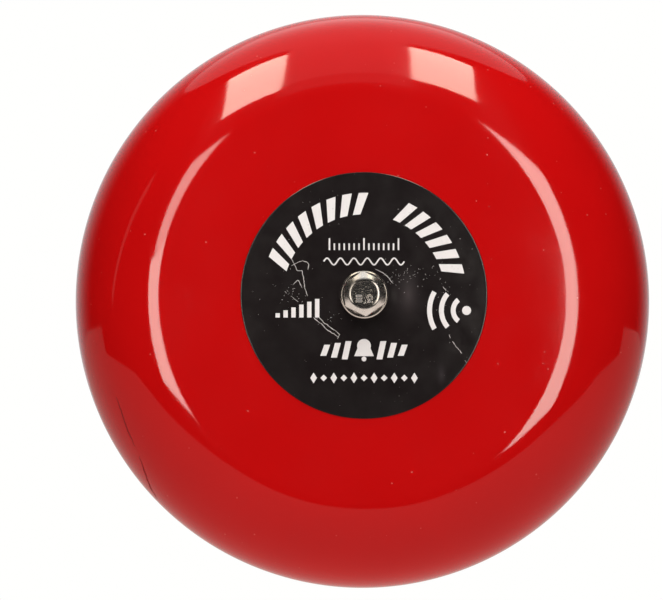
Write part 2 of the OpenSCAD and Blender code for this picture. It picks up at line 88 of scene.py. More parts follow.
def rounded(points, radius, steps=4):
    """A closed section with its corners rounded. radius is one number, or one for each corner."""
    radii = [radius] * len(points) if isinstance(radius, (int, float)) else radius
    out = []
    for i, p in enumerate(points):
        p, a, b = Vector(p), Vector(points[i - 1]), Vector(points[(i + 1) % len(points)])
        u, v = (a - p).normalized(), (b - p).normalized()
        half = u.angle(v) / 2
        if radii[i] < 1e-6 or half > math.radians(89):
            out.append(tuple(p))
            continue
        reach = min(radii[i] / math.tan(half), (a - p).length * 0.49, (b - p).length * 0.49)
        r = reach * math.tan(half)
        centre = p + (u + v).normalized() * (r / math.sin(half))
        s, e = p + u * reach - centre, p + v * reach - centre
        turn = s.angle_signed(e)
        for k in range(steps + 1):
            t = -turn * k / steps
            c, n = math.cos(t), math.sin(t)
            out.append((centre.x + s.x * c - s.y * n, centre.y + s.x * n + s.y * c))
    return out


def mesh(name, verts, faces, sharp=None):
    """A new object from points in millimetres [x, up, out from the wall]."""
    data = bpy.data.meshes.new(name)
    data.from_pydata([(x * MM, -h * MM, z * MM) for x, z, h in verts], [], faces)
    data.validate()
    bm = bmesh.new()
    bm.from_mesh(data)
    bmesh.ops.remove_doubles(bm, verts=bm.verts, dist=1e-7)
    bmesh.ops.recalc_face_normals(bm, faces=bm.faces)
    bm.to_mesh(data)
    bm.free()
    data.polygons.foreach_set("use_smooth", [True] * len(data.polygons))
    if sharp is not None:
        data.set_sharp_from_angle(angle=math.radians(sharp))
    obj = bpy.data.objects.new(name, data)
    bpy.context.scene.collection.objects.link(obj)
    return obj


def lathe(name, section, segments, shift=None, sharp=None):
    """Turns a closed section of [r, h] about the bell's axis. shift(r, h, angle, index) moves its points."""
    verts, faces = [], []
    count = len(section)
    for s in range(segments):
        a = 2 * math.pi * s / segments
        for i, (r, h) in enumerate(section):
            if shift:
                r, h = shift(r, h, a, i)
            verts.append((r * math.cos(a), r * math.sin(a), h))
    for s in range(segments):
        n = (s + 1) % segments
        for i in range(count):
            j = (i + 1) % count
            faces.append((s * count + i, s * count + j, n * count + j, n * count + i))
    return mesh(name, verts, faces, sharp=sharp)


def crown(x, z, radius=LABEL_TOP):
    """Height out from the wall of the crowned face, or of a skin on it, at a point in millimetres."""
    return CROWN_C[1] + math.sqrt(radius * radius - x * x - z * z)


def plates(name, shapes, thick=0.03, sink=0.04, cell=2.0):
    """Flat shapes, as lists of [x, up] corners, laid on the label's curve as one thin piece."""
    bm = bmesh.new()
    for shape in shapes:
        face = bm.faces.new([bm.verts.new((x, z, 0.0)) for x, z in shape])
        face.normal_update()
        if face.normal.z < 0:
            face.normal_flip()
    bmesh.ops.triangulate(bm, faces=bm.faces[:])
    for _ in range(4):
        long_edges = [e for e in bm.edges if e.calc_length() > cell]
        if not long_edges:
            break
        bmesh.ops.subdivide_edges(bm, edges=long_edges, cuts=1)
        bmesh.ops.triangulate(bm, faces=[f for f in bm.faces if len(f.verts) > 3])
    base = bm.faces[:]
    grown = bmesh.ops.extrude_face_region(bm, geom=base)
    top = {v for v in grown["geom"] if isinstance(v, bmesh.types.BMVert)}
    for v in bm.verts:
        h = crown(v.co.x, v.co.y) + (thick if v in top else -sink)
        v.co = Vector((v.co.x * MM, -h * MM, v.co.y * MM))
    bmesh.ops.recalc_face_normals(bm, faces=bm.faces)
    data = bpy.data.meshes.new(name)
    bm.to_mesh(data)
    bm.free()
    obj = bpy.data.objects.new(name, data)
    bpy.context.scene.collection.objects.link(obj)
    return obj


def strip(path, widths):
    """Outline of a line of changing width along a path of [x, up] points."""
    left, right = [], []
    for i, p in enumerate(path):
        a, b = Vector(path[max(i - 1, 0)]), Vector(path[min(i + 1, len(path) - 1)])
        d = (b - a).normalized()
        side = Vector((-d.y, d.x)) * widths[i] / 2
        left.append(tuple(Vector(p) + side))
        right.append(tuple(Vector(p) - side))
    return left + right[::-1]


def arc_bar(centre, r_in, r_out, start, end, steps=10, slant=0.0):
    """A piece of a flat ring. slant turns its outer edge, in degrees."""
    return arc(centre, r_out, start + slant, end + slant, steps) + arc(centre, r_in, end, start, steps)


# ------------------------------------------------------------------ materials

class Look:
    """A Principled material built from noise, in each piece's own metres."""

    def __init__(self, name, **sockets):
        self.material = bpy.data.materials.new(name)
        self.material.use_nodes = True
        self.tree = self.material.node_tree
        self.shader = self.tree.nodes["Principled BSDF"]
        for key, value in sockets.items():
            self.shader.inputs[key.replace("_", " ")].default_value = value
        self.place = self.node("ShaderNodeTexCoord").outputs["Object"]
        self.height = None

    def node(self, kind, **settings):
        made = self.tree.nodes.new(kind)
        for key, value in settings.items():
            setattr(made, key, value)
        return made

    def link(self, source, socket):
        self.tree.links.new(source, socket)

    def stretched(self, x, y, z):
        mapping = self.node("ShaderNodeMapping")
        self.link(self.place, mapping.inputs["Vector"])
        mapping.inputs["Scale"].default_value = (x, y, z)
        return mapping.outputs["Vector"]

    def noise(self, scale, detail=3.0, roughness=0.55, place=None, distortion=0.0):
        made = self.node("ShaderNodeTexNoise")
        self.link(place or self.place, made.inputs["Vector"])
        made.inputs["Scale"].default_value = scale
        made.inputs["Detail"].default_value = detail
        made.inputs["Roughness"].default_value = roughness
        made.inputs["Distortion"].default_value = distortion
        return made.outputs["Fac"]

    def cells(self, scale):
        """Distance from the middle of the nearest of many scattered cells."""
        made = self.node("ShaderNodeTexVoronoi")
        self.link(self.place, made.inputs["Vector"])
        made.inputs["Scale"].default_value = scale
        return made.outputs["Distance"]

    def span(self, value, low, high, to_low=0.0, to_high=1.0):
        made = self.node("ShaderNodeMapRange")
        self.link(value, made.inputs["Value"])
        for key, number in (("From Min", low), ("From Max", high), ("To Min", to_low), ("To Max", to_high)):
            made.inputs[key].default_value = number
        return made.outputs["Result"]

    def spot(self, centre, reach):
        """1 at a place on the face, fading to 0 at the reach, all in millimetres [across, up]."""
        mapping = self.node("ShaderNodeMapping")
        self.link(self.place, mapping.inputs["Vector"])
        mapping.inputs["Scale"].default_value = (1 / (reach[0] * MM), 0.0, 1 / (reach[1] * MM))
        mapping.inputs["Location"].default_value = (-centre[0] / reach[0], 0.0, -centre[1] / reach[1])
        made = self.node("ShaderNodeTexGradient", gradient_type="QUADRATIC_SPHERE")
        self.link(mapping.outputs["Vector"], made.inputs["Vector"])
        return made.outputs["Fac"]

    def sum(self, a, b, how="ADD"):
        made = self.node("ShaderNodeMath", operation=how)
        self.link(a, made.inputs[0])
        if isinstance(b, (int, float)):
            made.inputs[1].default_value = b
        else:
            self.link(b, made.inputs[1])
        return made.outputs[0]

    def mix(self, factor, a, b):
        made = self.node("ShaderNodeMix", data_type="RGBA")
        self.link(factor, made.inputs["Factor"])
        for key, colour in (("A", a), ("B", b)):
            socket = [s for s in made.inputs if s.name == key and s.type == "RGBA"][0]
            if isinstance(colour, tuple):
                socket.default_value = (*colour, 1.0)
            else:
                self.link(colour, socket)
        return [s for s in made.outputs if s.type == "RGBA"][0]

    def colour(self, output):
        self.link(output, self.shader.inputs["Base Color"])
        return self

    def rough(self, output):
        self.link(output, self.shader.inputs["Roughness"])
        return self

    def bump(self, height, distance, strength=1.0):
        """distance is the height in metres that white stands above black."""
        made = self.node("ShaderNodeBump")
        made.inputs["Strength"].default_value = strength
        made.inputs["Distance"].default_value = distance
        self.link(height, made.inputs["Height"])
        if self.height:
            self.link(self.height, made.inputs["Normal"])
        self.height = made.outputs["Normal"]
        self.link(self.height, self.shader.inputs["Normal"])
        return self


def paint_look():
    """Gloss red enamel: faint orange peel, a few dust nibs and light rub marks."""
    look = Look("red_enamel", Specular_IOR_Level=0.25, IOR=1.5)
    patches = look.noise(38, 2)
    base = look.mix(look.span(patches, 0.35, 0.65), (0.436, 0.0026, 0.0028), (0.456, 0.0029, 0.0031))
    size = look.span(look.noise(120, 1), 0.35, 0.62, 0.10, -0.035)
    dots = look.span(look.sum(look.cells(330), size), 0.055, 0.03)
    base = look.mix(look.sum(dots, 0.45, "MULTIPLY"), base, (0.62, 0.12, 0.10))
    look.colour(base)
    rubs = look.noise(900, 3, 0.6, look.stretched(1.0, 1.0, 0.12), 0.6)
    smooth = look.span(look.noise(60, 3), 0.3, 0.7, 0.045, 0.085)
    look.rough(look.sum(smooth, look.span(rubs, 0.62, 0.8, 0.0, 0.05)))
    look.bump(look.noise(420, 2, 0.5), 0.0000016)
    look.bump(look.noise(1500, 2, 0.5), 0.0000003)
    look.bump(dots, 0.000012)
    return look.material


def dark_line_look():
    """Dull, darker red for a thin raised line on the gong's paint."""
    look = Look("dull_dark_line", Roughness=0.7, Specular_IOR_Level=0.1)
    look.colour(look.mix(look.noise(800, 3), (0.30, 0.010, 0.010), (0.20, 0.006, 0.006)))
    look.bump(look.noise(2500, 2), 0.00001)
    return look.material


def film_look():
    """Black printed film: satin, with fine scuffs, grey dust and two painted highlights by its dents."""
    look = Look("black_film", Specular_IOR_Level=0.25, IOR=1.48)
    haze = look.noise(300, 4, 0.6)
    size = look.span(look.noise(240, 1), 0.3, 0.7, 0.12, -0.03)
    dots = look.span(look.sum(look.cells(650), size), 0.10, 0.07)
    base = look.mix(look.span(haze, 0.4, 0.75), (0.0095, 0.0070, 0.0070), (0.0125, 0.0098, 0.0096))
    # Two lighter patches, by the dent beside the washer and the dent near the lower right edge, are painted
    # highlights of light on those dents.
    dent_highlight = look.spot((11.2, 0.3), (4.6, 9.5))
    base = look.mix(look.sum(dent_highlight, 0.9, "MULTIPLY"), base, (0.050, 0.040, 0.040))
    # The second painted highlight, on the dent near the lower right edge.
    base = look.mix(look.spot((19.6, -20.2), (2.0, 4.5)), base, (0.034, 0.028, 0.029))
    look.colour(look.mix(look.sum(dots, 0.5, "MULTIPLY"), base, (0.10, 0.09, 0.08)))
    look.rough(look.span(look.noise(180, 4, 0.65), 0.3, 0.7, 0.11, 0.20))
    look.bump(look.noise(120, 3, 0.5), 0.000006)
    look.bump(look.noise(2200, 2), 0.0000012)
    return look.material


def ink_look(name, colour, worn):
    """White screen print, slightly uneven in cover."""
    look = Look(name, Roughness=0.45)
    cover = look.noise(1400, 4, 0.7)
    look.colour(look.mix(look.span(cover, 0.62, 0.80), colour, worn))
    look.rough(look.span(look.noise(900, 2), 0.3, 0.7, 0.35, 0.55))
    look.bump(look.noise(3000, 2), 0.000003)
    return look.material


# Where spot() falls through CORE_VALUE, as a part of its reach
CORE_EDGE, CORE_VALUE = 0.56, (0.185, 0.205)
CORE_ROUGH = 0.13


def metal_look(name, light, dark, rough, grain=(1, 1, 1), grain_scale=900.0, pits=0.0, bump=0.000002,
               core=None):
    """Bare or plated metal with stretched grain, blotches and pits.

    core is the radius in millimetres, round the bell's axis, inside which the metal is smoother.
    """
    look = Look(name, Metallic=1.0)
    patches = look.noise(240, 4, 0.6)
    base = look.mix(look.span(patches, 0.35, 0.68), light, dark)
    lines = look.noise(grain_scale, 4, 0.6, look.stretched(*grain))
    if pits > 0:
        holes = look.span(look.noise(5200, 3, 0.7), 0.62, 0.72)
        base = look.mix(look.sum(holes, pits, "MULTIPLY"), base, tuple(0.25 * c for c in dark))
    look.colour(base)
    gloss = look.sum(look.span(lines, 0.3, 0.7, *rough), look.span(patches, 0.4, 0.7, 0.0, 0.05))
    if core:
        inside = look.spot((0, 0), (core / CORE_EDGE, core / CORE_EDGE))
        gloss = look.sum(gloss, look.span(inside, *CORE_VALUE, 0.0, CORE_ROUGH - rough[0]))
    look.rough(gloss)
    look.bump(lines, bump)
    return look.material


def powder_look():
    """Black textured powder coat on the die-cast housing."""
    look = Look("black_powder_coat", IOR=1.5)
    fine = look.noise(2600, 3, 0.6)
    mottle = look.span(look.noise(90, 3), 0.35, 0.7)
    look.colour(look.mix(mottle, (0.016, 0.016, 0.017), (0.027, 0.027, 0.029)))
    look.rough(look.span(fine, 0.3, 0.7, 0.38, 0.56))
    look.bump(look.noise(1500, 2, 0.6), 0.00003, 0.7)
    look.bump(fine, 0.00001, 0.6)
    return look.material


def plastic_look(name, light, dark, rough, scale=260.0, bump=0.000004, grain=2400.0):
    """Moulded plastic or rubber with faint mottling and a fine moulded grain."""
    look = Look(name, IOR=1.5)
    look.colour(look.mix(look.span(look.noise(scale, 3), 0.35, 0.68), light, dark))
    look.rough(look.span(look.noise(grain * 0.4, 3), 0.3, 0.7, rough[0], rough[1]))
    look.bump(look.noise(grain, 2), bump)
    return look.material


def winding_look():
    """Enamelled copper wire, seen as fine turns round the coil, with painted shade where the turns meet."""
    look = Look("copper_winding", Metallic=1.0)
    wave = look.node("ShaderNodeTexWave", wave_type="BANDS", bands_direction="Z")
    look.link(look.place, wave.inputs["Vector"])
    wave.inputs["Scale"].default_value = 800
    wave.inputs["Distortion"].default_value = 0.6
    # The darker copper lies in the wave's low bands, where the bump sinks between turns: painted shade in the
    # grooves.
    look.colour(look.mix(wave.outputs["Fac"], (0.30, 0.08, 0.03), (0.78, 0.30, 0.13)))
    look.rough(look.span(look.noise(900, 2), 0.3, 0.7, 0.25, 0.4))
    look.bump(wave.outputs["Fac"], 0.00008)
    return look.material


LOOKS = {
    "paint": paint_look(),
    "dark_line": dark_line_look(),
    "film": film_look(),
    "ink": ink_look("white_print", (0.64, 0.60, 0.585), (0.30, 0.27, 0.26)),
    "scuff": ink_look("pale_scuff", (0.42, 0.38, 0.37), (0.12, 0.10, 0.10)),
    "plated": metal_look("plated_steel", (0.86, 0.80, 0.74), (0.66, 0.60, 0.54), (0.13, 0.20), pits=0.3,
                         bump=0.000004),
    "bolt": metal_look("bolt_plating", (0.95, 0.91, 0.86), (0.82, 0.76, 0.70), (0.20, 0.28), pits=0.3,
                       bump=0.000003, core=4.0),
    "zinc": metal_look("zinc_plate", (0.62, 0.63, 0.64), (0.47, 0.48, 0.50), (0.26, 0.46), (1, 1, 8), 420.0,
                       bump=0.000004),
    "steel": metal_look("bare_steel", (0.56, 0.55, 0.53), (0.42, 0.41, 0.40), (0.20, 0.34), (1, 1, 0.05),
                        1600.0),
    "brass": metal_look("turned_brass", (0.78, 0.56, 0.24), (0.60, 0.40, 0.15), (0.18, 0.34), (1, 1, 14),
                        300.0),
    "powder": powder_look(),
    "rubber": plastic_look("black_rubber", (0.014, 0.014, 0.014), (0.026, 0.025, 0.024), (0.55, 0.75)),
    "fibre": plastic_look("red_fibre", (0.26, 0.05, 0.03), (0.17, 0.03, 0.02), (0.6, 0.8), bump=0.00001),
    "nylon": plastic_look("ivory_nylon", (0.74, 0.71, 0.62), (0.66, 0.62, 0.52), (0.32, 0.5)),
    "tape": plastic_look("amber_tape", (0.62, 0.36, 0.04), (0.50, 0.26, 0.02), (0.16, 0.32), 400.0),
    "epoxy": plastic_look("black_epoxy", (0.012, 0.012, 0.012), (0.03, 0.03, 0.03), (0.3, 0.45)),
    "brown": plastic_look("brown_sleeve", (0.16, 0.05, 0.02), (0.11, 0.03, 0.012), (0.28, 0.42)),
    "blue": plastic_look("blue_sleeve", (0.02, 0.10, 0.38), (0.014, 0.07, 0.30), (0.28, 0.42)),
    "copper": winding_look(),
}

SLOT_LOOKS = {
    "red_paint": "paint", "label_film": "film", "bright_steel": "plated", "zinc_steel": "zinc",
    "bare_steel": "steel", "black_paint": "powder", "black_rubber": "rubber", "red_fibre": "fibre",
    "nylon": "nylon", "copper": "copper", "coil_tape": "tape", "brass": "brass",
    "black_epoxy": "epoxy", "brown_sleeve": "brown", "blue_sleeve": "blue",
}


def finish_piece(obj, look, body="bell", replaces=()):
    """Gives a new piece its material and body, and hides the CAD node it stands for."""
    obj.data.materials.clear()
    obj.data.materials.append(LOOKS[look])
    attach(obj, body)
    if replaces:
        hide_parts(*replaces)
    return obj


# Every CAD node gets its slot's material; the ones replaced below are hidden afterwards
for part in frame["record"]["subparts"]:
    data = nodes[part["node"]].data
    data.materials.clear()
    data.materials.append(LOOKS[SLOT_LOOKS[part["material_slot"]]])


# ------------------------------------------------------------------ gong

def crown_angle(r, inset):
    return math.degrees(math.acos(r / (CROWN_R - inset)))


def gong_line(inset, fine):
    """The gong's section from its hole to its rim, closest points where the crown meets the shoulder."""
    crown_r, skirt = CROWN_R - inset, SKIRT_R - inset
    end = -math.degrees(math.asin((SHOULDER_C[1] - RIM_H) / skirt))
    near = crown_angle(46.0, inset)
    return (arc(CROWN_C, crown_r, crown_angle(HOLE_R, inset), near, int(22 * fine))
            + arc(CROWN_C, crown_r, near, TANGENT, int(20 * fine))[1:]
            + arc(SHOULDER_C, SHOULDER_R - inset, TANGENT, 0, int(84 * fine))[1:]
            + arc(SKIRT_C, skirt, 0, end, int(20 * fine))[1:])


EASE_START, EASE_FULL, EASE_LAST = 51.5, 52.9, 62.0
EASE_EARLY, EASE_EARLY_AT = 0.65, 0.65


def eased(r, a):
    """How far the sheet is rounded down where the crown meets the shoulder.

    It starts EASE_EARLY mm sooner round the angle EASE_EARLY_AT, in radians, at the upper right. That one
    side is fitted to where the right-hand strip's reflection falls. It isn't a known feature of the bell.
    """
    start = EASE_START - EASE_EARLY * max(0.0, math.cos(a - EASE_EARLY_AT)) ** 8
    full, last = EASE_FULL, EASE_LAST
    rate = 1 / SHOULDER_R
    if r < start:
        return 0.0
    if r < full:
        return rate * (r - start) ** 2 / 2
    slope = rate * (full - start)
    beyond = min(r, last) - full
    return slope * (full - start) / 2 + slope * (beyond - beyond ** 2 / (last - full) / 2)


def pressed(r, h, a, i):
    """Small waves that pressing leaves in the sheet, always inwards from the true shape."""
    wave = noise.noise(Vector((r * math.cos(a), r * math.sin(a), h)) / 26.0)
    wave += 0.4 * noise.noise(Vector((r * math.cos(a), r * math.sin(a), h)) / 9.0)
    depth = 0.010 * (1 + wave) * min(1.0, max(0.0, (r - 33.0) / 10.0))
    fall = eased(r, a) if i < OUTER_COUNT else 0.0
    return r - depth * r / 75.0, h - depth * 0.6 - fall


outer, inner = gong_line(0, 1.0), gong_line(WALL, 0.4)
RIM_BEVEL = 0.12
rim = [(outer[-1][0] - RIM_BEVEL, outer[-1][1]), (inner[-1][0] + RIM_BEVEL, inner[-1][1])]
outer[-1] = (outer[-1][0], outer[-1][1] + RIM_BEVEL)
OUTER_COUNT = len(outer)
inner[-1] = (inner[-1][0], inner[-1][1] + RIM_BEVEL)
gong = lathe("gong_shell", outer + rim + inner[::-1], 432, shift=pressed, sharp=50)
finish_piece(gong, "paint", replaces=["gong"])


def on_gong(x, z, over):
    """A point on the gong's outer side, or over it, below a place on the face."""
    r, a = math.hypot(x, z), math.atan2(z, x)
    if r < SHOULDER_C[0] + SHOULDER_R * math.cos(math.radians(TANGENT)):
        h = crown(x, z, CROWN_R)
        slope = r / math.sqrt(CROWN_R ** 2 - r * r)
    else:
        rise = math.sqrt(SHOULDER_R ** 2 - (r - SHOULDER_C[0]) ** 2)
        h = SHOULDER_C[1] + rise
        slope = (r - SHOULDER_C[0]) / rise
    n = math.sqrt(1 + slope * slope)
    r, h = pressed(r, h, a, 0)
    r, h = r + over * slope / n, h + over / n
    return r * math.cos(a), r * math.sin(a), h


def hairline(name, paths, width, over=0.012):
    """Fine lines lying on the gong's paint, closed in underneath."""
    verts, faces = [], []
    for path in paths:
        steps = []
        for p, q in zip(path, path[1:]):
            count = max(2, int((Vector(q) - Vector(p)).length / 0.5))
            steps += [(p[0] + (q[0] - p[0]) * k / count, p[1] + (q[1] - p[1]) * k / count)
                      for k in range(count)]
        steps.append(path[-1])
        start = len(verts)
        for i, p in enumerate(steps):
            back, ahead = Vector(steps[max(i - 1, 0)]), Vector(steps[min(i + 1, len(steps) - 1)])
            d = (ahead - back).normalized()
            wander = 0.10 * noise.noise(Vector((p[0], p[1], 5.0)) * 0.8)
            w = width * min(1.0, 0.25 + 0.12 * min(i, len(steps) - 1 - i)) / 2
            for side, lift in ((-1, -0.05), (-1, over * 0.4), (0, over), (1, over * 0.4), (1, -0.05)):
                x, z = p[0] - d.y * (side * w + wander), p[1] + d.x * (side * w + wander)
                verts.append(on_gong(x, z, lift))
        for i in range(len(steps) - 1):
            for k in range(5):
                a, b = start + i * 5 + k, start + i * 5 + (k + 1) % 5
                faces.append((a, b, b + 5, a + 5))
        last = start + 5 * (len(steps) - 1)
        faces += [tuple(range(start, start + 5)), tuple(range(last, last + 5))]
    return mesh(name, verts, faces)


# A thin, dull, darker red line raised on the gong's lower left shoulder.
dark_line = hairline("paint_crack", [[(-63.2, -25.7), (-62.0, -29.2), (-60.7, -33.4), (-58.5, -38.4)],
                                 [(-57.5, -40.8), (-56.3, -44.4), (-55.0, -48.6), (-53.3, -51.8)]], 0.36)
finish_piece(dark_line, "dark_line")


# ------------------------------------------------------------------ label and its print

def label_shift(r, h, a, i):
    """The film's own small waves, with a dent beside the washer and another near its lower right edge."""
    x, z = r * math.cos(a), r * math.sin(a)
    if 4.0 < r < LABEL_R - 0.3 and i < LABEL_TOPSIDE:
        h += 0.010 * noise.noise(Vector((x, z, 3.0)) / 3.2)
        h -= 0.16 * math.exp(-((x - 9.0) / 1.9) ** 2 - ((z + 0.6) / 3.0) ** 2)
        h -= 0.05 * math.exp(-((x - 18.6) / 1.4) ** 2 - ((z + 20.6) / 2.0) ** 2)
    return r, h


def label_line(radius, steps):
    low = math.degrees(math.acos(LABEL_R / radius))
    high = math.degrees(math.acos(3.5 / radius))
    return arc(CROWN_C, radius, high, low, steps)


top = label_line(LABEL_TOP, 110)
top[-1] = (top[-1][0] - 0.06, top[-1][1])
LABEL_TOPSIDE = len(top)
edge = [(LABEL_R, crown(LABEL_R, 0) - 0.06)]
bottom = label_line(CROWN_R + 0.01, 24)[::-1]
label = lathe("label_film", top + edge + bottom, 300, shift=label_shift, sharp=60)
finish_piece(label, "film", replaces=["front_label"])

# Slanted bars round the top, in a long and a short run
marks = []
for first, count in ((163.0, 8), (69.0, 6)):
    for k in range(count):
        a = first - 9.3 * k
        marks.append(arc_bar((0, 0), 20.5, 26.0, a - 5.4, a, 4, slant=-5.0))
# A rule with long and short ticks
for k in range(-7, 8):
    tall = 3.0 if k % 7 == 0 else 1.7
    left, right, foot = 1.25 * k - 0.2, 1.25 * k + 0.2, 11.4
    marks.append([(left, foot), (right, foot), (right, foot + tall), (left, foot + tall)])
# An alternating current wave
wave = [(-10.2 + 0.2 * k, 8.5 + 0.85 * math.sin(2 * math.pi * (0.2 * k) / 3.4)) for k in range(103)]
for k in range(0, 102, 6):
    part = wave[k:k + 7]
    marks.append(strip(part, [0.36] * len(part)))
# Rising loudness bars at the left
for k in range(6):
    x = -22.4 + 2.0 * k
    marks.append([(x, -5.7), (x + 1.1, -5.7), (x + 1.1, -4.6 + 0.72 * k), (x, -4.6 + 0.72 * k)])
# Sound waves at the right
marks.append(arc((26.0, -3.9), 1.15, 0, 345, 23))
for radius, half in ((3.4, 52), (6.4, 41), (9.4, 30)):
    marks.append(arc_bar((26.0, -3.9), radius - 0.62, radius + 0.62, 180 - half, 180 + half, 14))
# A bell between slanted bars
bell = ([(-2.5, -15.5)] + arc((0.0, -12.9), 1.75, 200, -20, 14) + [(2.5, -15.5)])
marks += [bell, arc((0.0, -16.2), 0.62, 0, 330, 11)]
for side in (-1, 1):
    for k in range(3):
        x, reach = side * (4.4 + 2.7 * k), 2.3 - 0.45 * k
        marks.append([(x - 0.75 - 0.5, -14 - reach), (x + 0.75 - 0.5, -14 - reach),
                      (x + 0.75 + 0.5, -14 + reach), (x - 0.75 + 0.5, -14 + reach)])
# A row of diamonds below
for k in range(-5, 6):
    tall = 1.35 if k % 2 else 0.85
    x, mid, half = 2.55 * k, -21.0, 0.85
    marks.append([(x - half, mid), (x, mid - tall), (x + half, mid), (x, mid + tall)])
finish_piece(plates("label_print", marks), "ink")

# Creases and scuffs in the film, as fine broken lines
random.seed(7)
CREASES = [
    [(-18.4, 9.3), (-17.4, 7.4), (-16.9, 6.2), (-15.7, 6.2), (-15.3, 4.1), (-15.0, 2.0), (-14.3, -0.3)],
    [(-18.4, 7.4), (-16.7, 8.3), (-15.5, 8.7), (-14.4, 8.3), (-14.0, 7.6), (-14.2, 6.4)],
    [(-18.0, 2.6), (-16.9, 3.7), (-16.5, 3.7), (-15.7, 1.8)],
    [(-20.1, 0.9), (-19.6, 0.4)],
    [(-18.4, -0.3), (-16.5, -1.8)],
    [(-12.9, -5.6), (-10.4, -7.7), (-9.2, -8.9), (-7.1, -10.2), (-6.4, -10.8)],
    [(-11.5, -5.4), (-10.0, -7.3), (-9.4, -7.5), (-7.5, -8.9), (-6.2, -10.0), (-6.7, -11.1)],
    [(2.8, 6.6), (4.4, 5.9), (6.0, 4.6), (7.4, 2.9)],
    [(20.0, 2.2), (20.9, 1.1)],
    [(19.8, -2.6), (20.3, -3.9)],
    [(21.5, -10.0), (21.9, -11.0)],
    [(22.4, -11.7), (23.4, -13.2), (24.8, -14.8)],
    [(25.5, -16.5), (25.9, -17.1)],
]
lines = []
for line in CREASES:
    path = []
    for a, b in zip(line, line[1:]):
        steps = max(2, int((Vector(b) - Vector(a)).length / 0.35))
        for k in range(steps):
            t = k / steps
            jog = (random.random() - 0.5) * 0.12
            path.append((a[0] + (b[0] - a[0]) * t + jog, a[1] + (b[1] - a[1]) * t + jog))
    path.append(line[-1])
    taper = [min(1.0, 0.35 + 0.5 * min(k, len(path) - 1 - k)) for k in range(len(path))]
    lines.append(strip(path, [t * (0.09 + 0.12 * random.random()) for t in taper]))
for _ in range(46):
    a, r = random.random() * 2 * math.pi, 9 + 21 * math.sqrt(random.random())
    x, z, s = r * math.cos(a), r * math.sin(a), 0.04 + 0.07 * random.random()
    lines.append([(x - s, z), (x, z - s * 0.7), (x + s * 0.8, z + 0.2 * s), (x + 0.1 * s, z + s)])
# Clusters of finer flecks, scattered at random: [middle], [spread], count
for (mid_x, mid_z), (wide, tall), count in (((11.0, 5.0), (4.2, 1.6), 44), ((7.0, 4.4), (2.0, 1.2), 14),
                                            ((-18.0, -0.6), (3.2, 2.0), 30), ((20.4, 0.5), (0.7, 3.4), 18),
                                            ((-10.0, -6.0), (2.6, 1.6), 12)):
    for _ in range(count):
        x, z = random.gauss(mid_x, wide), random.gauss(mid_z, tall)
        a = random.random() * math.pi
        s = 0.06 + 0.16 * random.random() ** 2
        thin = 0.03 + 0.03 * random.random()
        if 6.6 < math.hypot(x, z) < 30:
            cos, sin = math.cos(a), math.sin(a)
            lines.append([(x + u * s * cos - v * thin * sin, z + u * s * sin + v * thin * cos)
                          for u, v in ((-1, -0.6), (1, -1), (0.8, 1), (-0.7, 0.8))])
finish_piece(plates("label_creases", lines, thick=0.018, cell=5.0), "scuff")


# ------------------------------------------------------------------ bolt and its washers

HEAD_TOP = -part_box("gong_bolt")[0].y / MM
HEAD_H = 4.0
HEAD_BASE = HEAD_TOP - HEAD_H
HEAD_TURN = math.radians(34)
FLAT = 5.0            # from the axis to a side of the head
TURNED = 5.9          # radius that the head's corners are turned to
CORNER_BLEND = 9      # higher makes the change from side to turned corner sharper
RECESS_DEPTH = 0.6
FLOOR_ROWS = 44
SHANK_R = 3.0
SHANK_LENGTH = 16.0
SEGMENTS = 240
SHANK_SEGMENTS = 96


def hex_distance(a, flat, turned):
    """Distance from the axis to a hexagon's side at angle a, its corners eased to the radius turned."""
    step = math.pi / 3
    side = flat / math.cos(((a - HEAD_TURN) % step) - step / 2)
    return -math.log(math.exp(-side * CORNER_BLEND) + math.exp(-turned * CORNER_BLEND)) / CORNER_BLEND


def raised(x, z):
    """Two plain marks forged in the recess: three short bars, and a ring over a bar, with a dot between."""
    ring = abs(math.hypot(x - 1.35, z + 1.0) - 0.55) - 0.16
    inside = min([max(abs(x + 1.35) - 0.75, abs(z - up) - 0.15) for up in (-0.55, -1.25, -1.95)]
                 + [ring, max(abs(x - 1.35) - 0.6, abs(z + 2.1) - 0.15), math.hypot(x - 0.05, z + 2.3) - 0.2])
    return max(0.0, min(1.0, 0.5 - inside / 0.12))


def head_ring(a):
    """The head's section at one angle: base, side, turned-down top, recess lip, wall and floor."""
    full = hex_distance(a, FLAT, TURNED)
    edge_r = 4.02
    edge_h = HEAD_TOP - 0.17
    low = edge_h - (full - edge_r) * math.tan(math.radians(30))
    rows = [(SHANK_R, HEAD_BASE), (full - 0.35, HEAD_BASE), (full - 0.08, HEAD_BASE + 0.10),
            (full, HEAD_BASE + 0.35), (full, (HEAD_BASE + low) / 2), (full, low - 0.14),
            (full - 0.03, low - 0.05), (full - 0.09, low + 0.04)]
    for k in range(1, 6):
        t = 0.06 + 0.91 * k / 6
        rows.append((full + (edge_r - full) * t, low + (edge_h - low) * t))
    rows.append((edge_r + 0.05, edge_h - 0.024))
    # The narrow land round the recess is a little domed, and the recess wall is steep
    for k in range(9):
        t = k / 8
        rows.append((edge_r - 0.05 - 0.80 * t, edge_h + 0.012 + 0.158 * (1 - (1 - t) ** 1.7)))
    rows.append((3.165, HEAD_TOP - RECESS_DEPTH))
    for k in range(1, FLOOR_ROWS):
        r = 3.02 * (1 - k / FLOOR_ROWS)
        x, z = r * math.cos(a), r * math.sin(a)
        rough = 0.022 * noise.noise(Vector((x, z, 1.0)) * 3.4)
        rough += 0.012 * noise.noise(Vector((x, z, 9.0)) * 8.0)
        rows.append((r, HEAD_TOP - RECESS_DEPTH + rough + 0.07 * raised(x, z)))
    return rows


